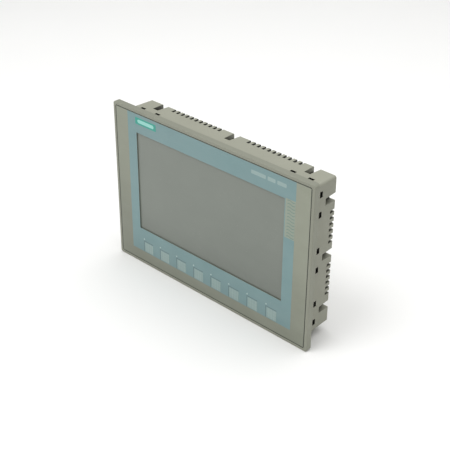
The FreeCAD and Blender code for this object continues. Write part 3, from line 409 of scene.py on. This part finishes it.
def touch_glass():
    """Anti-glare touch film over the switched-off display: grey, with painted light toward its upper
    left and painted shade toward its lower right, a painted shadow along its lower edge, wiped smears, a
    fine painted sparkle and a few specks."""
    finish = Finish("touch_glass", specular=0.5, coat=0.25, coat_roughness=0.35)
    # Painted light and shade: paler toward the upper left, darker toward the lower right
    slope = finish.maths("SUBTRACT", finish.axis("Z"), finish.maths("MULTIPLY", finish.axis("X"), 0.3))
    painted_light_slope = finish.spread(slope, -75 * MM, 20 * MM, 0.0, 0.8)
    painted_light_slope = finish.maths("ADD", painted_light_slope, finish.between(finish.noise(60 * MM, 3), -0.15, 0.25))
    body = finish.mix(painted_light_slope, scaled(SCREEN, 0.93), scaled(SCREEN, 1.03))
    # Painted shadow under the window's lower lip
    lip_shadow = finish.spread(finish.axis("Z"), WINDOW_LOW + 22 * MM, WINDOW_LOW, 0.0, 0.5)
    body = finish.mix(lip_shadow, body, scaled(SCREEN, 0.88))
    smears = finish.noise(14 * MM, 4, (2.6, 1, 0.8))
    body = finish.mix(finish.spread(smears, 0.45, 0.75, 0.0, 0.14), body, scaled(SCREEN, 1.12))
    # Painted sparkle: small glints of the anti-glare coat
    painted_sparkle = finish.between(finish.noise(0.3 * MM, 0), 0.0, 0.1)
    body = finish.mix(painted_sparkle, body, scaled(SCREEN, 1.18))
    specks = finish.spread(finish.cells(5.2 * MM), 0.05, 0.03, 0.0, 0.4)
    body = finish.mix(specks, body, GLASS_DUST)
    rough = finish.spread(smears, 0.35, 0.75, 0.3, 0.44)
    finish.emboss(finish.noise(0.25 * MM, 1), 0.006 * MM, 0.3)
    return finish.done(body, rough)


def rubber(name, colour, roughness=0.75, grain=0.8 * MM):
    """Matt elastomer or foam: mottled, dusty, finely pitted."""
    finish = Finish(name, specular=0.3, sheen=0.15)
    body = finish.mix(finish.noise(12 * MM, 3), scaled(colour, 0.8), scaled(colour, 1.3))
    dust = finish.spread(finish.noise(3 * MM, 4), 0.5, 0.8, 0.0, 0.3)
    body = finish.mix(dust, body, RUBBER_DUST)
    pits = finish.spread(finish.cells(grain), 0.1, 0.5)
    finish.emboss(pits, 0.05 * MM, 0.6)
    rough = finish.between(finish.noise(5 * MM, 2), roughness - 0.08, roughness + 0.1)
    return finish.done(body, rough)


def metal(name, colour, roughness, brushed=(1, 1, 1), tarnish=0.25):
    """Bare or plated metal: brushed or turned grain, cloudy plating, brighter edges, painted shade in
    its corners.
    """
    finish = Finish(name, metallic=1.0)
    edge = 0.2 * MM
    clouds = finish.spread(finish.noise(6 * MM, 4), 0.35, 0.7, 0.0, tarnish)
    body = finish.mix(clouds, colour, scaled(colour, 0.68))
    body = finish.cover(body, finish.edges(edge), 0.5, scaled(colour, 1.15))
    # Painted shade in the corners
    body = finish.cover(body, finish.corners(1.2 * MM), 0.6, scaled(colour, 0.4))
    grain = finish.noise(0.22 * MM, 2, brushed)
    rough = finish.between(grain, roughness - 0.08, roughness + 0.12)
    finish.relief = finish.rounded_normal(edge)
    finish.emboss(grain, 0.006 * MM, 0.4)
    return finish.done(body, rough)


def small_moulding(name, colour, roughness=0.42):
    """A connector's or a chip's body: even plastic with a light grain, paler along its edges, painted
    shade in its corners.
    """
    finish = Finish(name, specular=0.45)
    body = finish.mix(finish.noise(4 * MM, 3), scaled(colour, 0.9), scaled(colour, 1.1))
    body = finish.cover(body, finish.edges(0.2 * MM), 0.35, scaled(colour, 1.35))
    # Painted shade in the corners
    body = finish.cover(body, finish.corners(1.5 * MM), 0.5, scaled(colour, 0.55))
    grain = finish.noise(0.2 * MM, 2)
    rough = finish.between(grain, roughness - 0.07, roughness + 0.07)
    finish.relief = finish.rounded_normal(0.15 * MM)
    finish.emboss(grain, 0.006 * MM, 0.4)
    return finish.done(body, rough)


def circuit_board():
    """Green solder mask over copper: tracks show as a raised pattern under the lacquer, among
    scattered pads."""
    finish = Finish("circuit_board", specular=0.5, coat=0.3, coat_roughness=0.15)
    tracks = finish.add("TexBrick", {"Vector": finish.place, "Scale": 1 / (6 * MM), "Mortar Size": 0.06})
    lines = finish.spread(tracks.outputs["Fac"], 0.2, 0.8)
    body = finish.mix(finish.noise(15 * MM, 3), *BOARD_GREENS)
    body = finish.cover(body, lines, 0.5, BOARD_TRACK)
    pads = finish.spread(finish.cells(2.4 * MM), 0.2, 0.12)
    body = finish.cover(body, pads, 0.7, BOARD_PAD)
    finish.emboss(lines, 0.02 * MM, 0.5)
    return finish.done(body, finish.between(finish.noise(4 * MM, 3), 0.24, 0.4))


def clear_acrylic():
    """The light guide: clear plastic with scattered fine dots moulded in it."""
    finish = Finish("clear_acrylic", specular=0.6)
    finish.shader.inputs["Transmission Weight"].default_value = 0.85
    dots = finish.spread(finish.cells(1.1 * MM), 0.35, 0.2)
    body = finish.mix(finish.noise(20 * MM, 2), *ACRYLIC_TINTS)
    finish.emboss(dots, 0.02 * MM, 0.5)
    return finish.done(body, finish.spread(dots, 0.0, 1.0, 0.06, 0.3))


def sheet_material(name, colour):
    """A sheet or strip inside the display, or a flat cable: soft fibres and slight ripples."""
    finish = Finish(name, specular=0.4)
    fibres = finish.noise(0.6 * MM, 3, (4, 1, 1))
    body = finish.mix(fibres, scaled(colour, 0.96), scaled(colour, 1.03))
    finish.emboss(finish.noise(18 * MM, 2), 0.05 * MM, 0.3)
    return finish.done(body, finish.between(fibres, 0.4, 0.6))


def label_foil():
    """Silver-grey rating plate: brushed polyester foil with faint smears and paler edges."""
    finish = Finish("label_foil", metallic=0.35, specular=0.5)
    brushing = finish.noise(0.25 * MM, 3, (40, 1, 1))
    body = finish.mix(finish.between(brushing), *FOIL_GREYS)
    body = finish.mix(finish.spread(finish.noise(14 * MM, 3), 0.4, 0.75, 0.0, 0.2), body, FOIL_SMEAR)
    body = finish.cover(body, finish.edges(0.3 * MM), 0.5, FOIL_EDGE)
    finish.relief = finish.rounded_normal(0.1 * MM)
    finish.emboss(brushing, 0.004 * MM, 0.35)
    return finish.done(body, finish.between(brushing, 0.32, 0.46))


# What makes the finish that each of the pack's material slots names
FINISHES = {
    "bezel_plastic": lambda: moulded_plastic("bezel_plastic", BEZEL, 0.48, top_shade=0.3),
    "housing_plastic": lambda: moulded_plastic("housing_plastic", HOUSING, 0.56, 0.7 * MM, 0.03 * MM,
                                               hollow_shade=housing_hollow_shade),
    "overlay_film": overlay_film,
    "key_film": key_film,
    "touch_glass": touch_glass,
    "gasket_rubber": lambda: rubber("gasket_rubber", (44, 45, 44)),
    "black_foam": lambda: rubber("black_foam", (34, 34, 34), 0.85, 0.5 * MM),
    "spring_steel": lambda: metal("spring_steel", (196, 196, 192), 0.22),
    "bright_steel": lambda: metal("bright_steel", (204, 205, 206), 0.24, (12, 1, 1)),
    "plated_steel": lambda: metal("plated_steel", (186, 188, 192), 0.34, (1, 1, 14)),
    "screw_steel": lambda: metal("screw_steel", (182, 183, 180), 0.3),
    "brass": lambda: metal("brass", (206, 172, 104), 0.26, (1, 8, 1)),
    "gold_contact": lambda: metal("gold_contact", (236, 196, 104), 0.2),
    "aluminium_can": lambda: metal("aluminium_can", (212, 213, 215), 0.28, (1, 10, 1)),
    "black_aluminium": lambda: metal("black_aluminium", (52, 53, 55), 0.42, (1, 10, 1), 0.1),
    "chip_black": lambda: small_moulding("chip_black", (38, 39, 40), 0.5),
    "ferrite": lambda: small_moulding("ferrite", (66, 67, 70), 0.55),
    "cream_plastic": lambda: small_moulding("cream_plastic", (222, 214, 194)),
    "green_plastic": lambda: small_moulding("green_plastic", (52, 128, 84)),
    "white_plastic": lambda: small_moulding("white_plastic", (232, 232, 228)),
    "circuit_board": circuit_board,
    "clear_acrylic": clear_acrylic,
    "display_glass": lambda: sheet_material("display_glass", (48, 52, 53)),
    "white_sheet": lambda: sheet_material("white_sheet", (236, 236, 232)),
    "led_strip": lambda: sheet_material("led_strip", (226, 220, 188)),
    "flat_cable": lambda: sheet_material("flat_cable", (206, 138, 58)),
    "label_foil": label_foil,
}


def finish_nodes():
    """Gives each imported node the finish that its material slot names.

    Nodes share packed materials, which are renamed once their finish is made, so that the finish has
    the name to itself; `made` knows each finish by both names."""
    made = {}
    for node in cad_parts.values():
        for slot in node.material_slots:
            name = slot.material.name
            if name not in made:
                packed_name = name + "_packed"
                slot.material.name = packed_name
                made[name] = FINISHES[name]()
                made[packed_name] = made[name]
            slot.material = made[name]


# ---------------------------------------------------------------- print on the film and the plate

# Points of a print that agree to this many digits, in metres, are one
POINT_DIGITS = 7
# How many straight steps stand for a round corner, a disc and a wave
CORNER_STEPS, DISC_STEPS, WAVE_STEPS = 5, 24, 16


def rectangle(left, right, low, high):
    """A rectangle's outline, anticlockwise from its lower left."""
    return [(left, low), (right, low), (right, high), (left, high)]


def rounded_bar(left, right, low, high, radius):
    """A rectangle's outline with round corners, anticlockwise from its lower left."""
    centres = [(left + radius, low + radius, 180), (right - radius, low + radius, 270),
               (right - radius, high - radius, 0), (left + radius, high - radius, 90)]
    outline = []
    for x, z, start in centres:
        for step in range(CORNER_STEPS + 1):
            angle = math.radians(start + 90 * step / CORNER_STEPS)
            outline.append((x + radius * math.cos(angle), z + radius * math.sin(angle)))
    return outline


def disc(x, z, radius):
    """A disc's outline round its middle."""
    turns = [2 * math.pi * step / DISC_STEPS for step in range(DISC_STEPS)]
    return [(x + radius * math.cos(turn), z + radius * math.sin(turn)) for turn in turns]


def printed(name, faces, front, material, facing=-1):
    """A thin layer of ink with one flat face for each outline of (x, z) points.

    Its visible side is at y = front; `facing` is -1 for a layer that looks forward and 1 for one that
    looks to the back. Outlines share the points that they have in common."""
    mesh = bpy.data.meshes.new(name)
    build = bmesh.new()
    corners = {}
    flat = []
    for outline in faces:
        ring = []
        for x, z in outline:
            place = (round(x, POINT_DIGITS), round(z, POINT_DIGITS))
            if place not in corners:
                corners[place] = build.verts.new((x, front, z))
            ring.append(corners[place])
        flat.append(build.faces.new(ring))
    grown = bmesh.ops.extrude_face_region(build, geom=flat)["geom"]
    moved = [item for item in grown if isinstance(item, bmesh.types.BMVert)]
    bmesh.ops.translate(build, verts=moved, vec=(0, -facing * INK_THICKNESS, 0))
    bmesh.ops.recalc_face_normals(build, faces=build.faces)
    build.to_mesh(mesh)
    build.free()
    mesh.materials.append(material)
    piece = bpy.data.objects.new(name, mesh)
    bpy.context.scene.collection.objects.link(piece)
    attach(piece, "panel")


def with_holes(outer, holes):
    """The rectangles that fill an outer (left, right, low, high) box and leave its holes open."""
    columns = sorted({edge for box in (outer, *holes) for edge in box[:2]})
    rows = sorted({edge for box in (outer, *holes) for edge in box[2:]})
    pieces = []
    for left, right in zip(columns, columns[1:]):
        for low, high in zip(rows, rows[1:]):
            x, z = (left + right) / 2, (low + high) / 2
            if not any(box[0] < x < box[1] and box[2] < z < box[3] for box in holes):
                pieces.append(rectangle(left, right, low, high))
    return pieces


def key_middle(box):
    """The (x, z) middle of a key's box."""
    return (box[0].x + box[1].x) / 2, (box[0].z + box[1].z) / 2


def print_field():
    """The blue field round the screen, open at the window and at the keys."""
    holes = [(-WINDOW_HALF_WIDTH, WINDOW_HALF_WIDTH, WINDOW_LOW, WINDOW_HIGH)]
    for x, z in map(key_middle, key_boxes):
        holes.append((x - KEY_HALF_WIDTH, x + KEY_HALF_WIDTH, z - KEY_HALF_HEIGHT, z + KEY_HALF_HEIGHT))
    faces = with_holes((FIELD_LEFT, FIELD_RIGHT, FIELD_LOW, FIELD_HIGH), holes)
    printed("blue_field", faces, FIELD_FRONT, blue_ink())


def print_key_marks():
    """A thin dark angle of painted shadow at the upper left of each key, and a small pale dot above it.
    """
    ink = printed_ink("key_shadow_ink", KEY_EDGE_SHADOW)
    pale = printed_ink("pale_ink", PALE_INK)
    line, side_gap, top_gap, foot_gap = 0.65 * MM, 0.75 * MM, 1.35 * MM, 0.1 * MM
    dot_radius, dot_shift, dot_rise = 0.75 * MM, 0.1 * MM, 2.0 * MM
    edge_shadows, dots = [], []
    for x, z in map(key_middle, key_boxes):
        left = x - KEY_HALF_WIDTH - side_gap
        top = z + KEY_HALF_HEIGHT + top_gap
        # Painted shadow of the key's raised edge, along its left side and its top
        edge_shadows.append(rectangle(left - line, left, FIELD_LOW + foot_gap, top - line))
        edge_shadows.append(rectangle(left - line, x + KEY_HALF_WIDTH, top - line, top))
        dots.append(disc(left - dot_shift, top + dot_rise, dot_radius))
    printed("key_edge_shadows", edge_shadows, MARK_FRONT, ink)
    printed("key_dots", dots, MARK_FRONT, pale)


def print_badge():
    """A plain teal block at the upper left with a generic mark: a pale bar with round ends."""
    left, low = FIELD_LEFT + 11.5 * MM, WINDOW_HIGH + 9.8 * MM
    right, high = left + 30.2 * MM, low + 7.4 * MM
    block_radius, bar_radius = 0.4 * MM, 1.9 * MM
    block = rounded_bar(left, right, low, high, block_radius)
    printed("badge", [block], MARK_FRONT, printed_ink("badge_ink", BADGE_INK, 0.04))
    side, end = 3.2 * MM, 1.75 * MM
    bar = rounded_bar(left + side, right - side, low + end, high - end, bar_radius)
    printed("badge_mark", [bar], TOP_FRONT, printed_ink("badge_mark_ink", BADGE_MARK))


def print_title_bars():
    """Three plain pale bars at the upper right, where a title would be printed."""
    low, tall = WINDOW_HIGH + 10.7 * MM, 4.0 * MM
    right = FIELD_RIGHT - 11.4 * MM
    gap, radius = 2.2 * MM, 0.9 * MM
    lengths = (11.0 * MM, 9.5 * MM, 18.0 * MM)
    bars = []
    for length in lengths:
        bars.append(rounded_bar(right - length, right, low, low + tall, radius))
        right -= length + gap
    printed("title_bars", bars, MARK_FRONT, printed_ink("title_ink", TITLE_INK))


def wave(x, z, length, height, line):
    """The outline of one wave of a line that runs along X."""
    upper, lower = [], []
    for step in range(WAVE_STEPS + 1):
        share = step / WAVE_STEPS
        rise = height * math.sin(2 * math.pi * share)
        upper.append((x + length * share, z + rise + line / 2))
        lower.append((x + length * share, z + rise - line / 2))
    return lower + upper[::-1]


def print_side_strip():
    """The lighter strip right of the screen, crossed by a ladder of wavy lines."""
    left, right = WINDOW_HALF_WIDTH + 1.0 * MM, FIELD_RIGHT
    high, tall = WINDOW_HIGH + 1.0 * MM, 41.0 * MM
    block = [rectangle(left, right, high - tall, high)]
    printed("side_strip", block, MARK_FRONT, printed_ink("strip_ink", STRIP_INK))
    start, length = left + 2.2 * MM, right - left - 2.8 * MM
    height, line, count = 0.6 * MM, 0.95 * MM, 12
    lines = []
    for step in range(count):
        z = high - tall * (step + 0.5) / count
        lines.append(wave(start, z, length, height, line))
    printed("strip_waves", lines, TOP_FRONT, printed_ink("strip_mark_ink", STRIP_MARK))


def print_rating_plate():
    """A blank form on the rating plate: a frame, ruled rows and a small filled corner, with no text."""
    margin, line = 2.0 * MM, 0.25 * MM
    left, right = plate_low.x + margin, plate_high.x - margin
    low, high = plate_low.z + margin, plate_high.z - margin
    ink = printed_ink("plate_ink", PLATE_INK, 0.06, 0.5)
    holes = [(left + line, right - line, low + line, high - line)]
    faces = with_holes((left, right, low, high), holes)
    rows, row_end = 6, left + 44 * MM
    row_tall = (high - low) / rows
    for row in range(1, rows):
        z = low + row * row_tall
        faces.append(rectangle(left + 2 * line, row_end, z - line / 2, z + line / 2))
    near, far = 4 * MM, 14 * MM
    faces.append(rectangle(right - far, right - near, low + near, low + far))
    printed("plate_print", faces, plate_high.y + INK_THICKNESS, ink, 1)


# ---------------------------------------------------------------- floor, light and camera

FLOOR_SIZE = 12
WORLD_COLOUR = (1.0, 1.0, 0.99, 1.0)
WORLD_STRENGTH = 0.37
# Each lamp's name, place, width and power; all of them point at the panel's middle.
LAMPS = (
    ("overhead", (0.1, 0.3, 1.5), 2.4, 22),
    ("front_top", (-0.35, -1.1, 1.9), 1.3, 20),
)

# The place that the camera looks at, its angles in degrees, its distance, and its lens and sensor in mm
CAMERA_TARGET = Vector((12.0, 7.3, -4.1)) * MM
CAMERA_AZIMUTH, CAMERA_ELEVATION, CAMERA_ROLL = 43.25, 30.6, 0.36
CAMERA_DISTANCE = 1.016
CAMERA_LENS = 81.4
CAMERA_SENSOR = 36
CAMERA_NEAREST = 0.01


def floor_paint():
    """Nearly white matt paint with broad, faint clouds."""
    finish = Finish("floor_paint", specular=0.2)
    body = finish.mix(finish.noise(0.5, 3), *FLOOR_WHITES)
    return finish.done(body, finish.between(finish.noise(0.05, 2), 0.7, 0.85))


def make_floor():
    """A wide pale floor under the panel's lower edge."""
    middle = (0, 0, cad_box[0].z)
    bpy.ops.mesh.primitive_grid_add(x_subdivisions=8, y_subdivisions=8, size=FLOOR_SIZE, location=middle)
    floor = bpy.context.object
    floor.name = "pale_floor"
    floor.data.materials.append(floor_paint())


def make_area_light(name, place, size, watts):
    """A round lamp that points at the panel's middle."""
    light = bpy.data.lights.new(name, "AREA")
    light.shape = "DISK"
    light.size = size
    light.energy = watts
    lamp = bpy.data.objects.new(name, light)
    lamp.location = place
    lamp.rotation_euler = (-Vector(place)).to_track_quat("-Z", "Y").to_euler()
    bpy.context.scene.collection.objects.link(lamp)


def make_light():
    """A pale, even room and the lamps."""
    world = bpy.data.worlds.new("white_room")
    world.use_nodes = True
    background = world.node_tree.nodes["Background"]
    background.inputs["Color"].default_value = WORLD_COLOUR
    background.inputs["Strength"].default_value = WORLD_STRENGTH
    bpy.context.scene.world = world
    for name, place, size, watts in LAMPS:
        make_area_light(name, place, size, watts)


def make_camera():
    """Looks down at the panel from the front and the right."""
    azimuth, elevation = math.radians(CAMERA_AZIMUTH), math.radians(CAMERA_ELEVATION)
    level = Vector((math.sin(azimuth), -math.cos(azimuth), 0)) * math.cos(elevation)
    back = level + Vector((0, 0, math.sin(elevation)))
    data = bpy.data.cameras.new("camera")
    data.sensor_width = CAMERA_SENSOR
    data.lens = CAMERA_LENS
    data.clip_start = CAMERA_NEAREST
    camera = bpy.data.objects.new("camera", data)
    camera.location = CAMERA_TARGET + back * CAMERA_DISTANCE
    camera.rotation_mode = "QUATERNION"
    roll = Quaternion((0, 0, 1), math.radians(CAMERA_ROLL))
    camera.rotation_quaternion = (-back).to_track_quat("-Z", "Y") @ roll
    bpy.context.scene.collection.objects.link(camera)
    bpy.context.scene.camera = camera


finish_nodes()
print_field()
print_key_marks()
print_badge()
print_title_bars()
print_side_strip()
print_rating_plate()
make_floor()
make_light()
make_camera()
bpy.context.scene.view_settings.view_transform = "Standard"
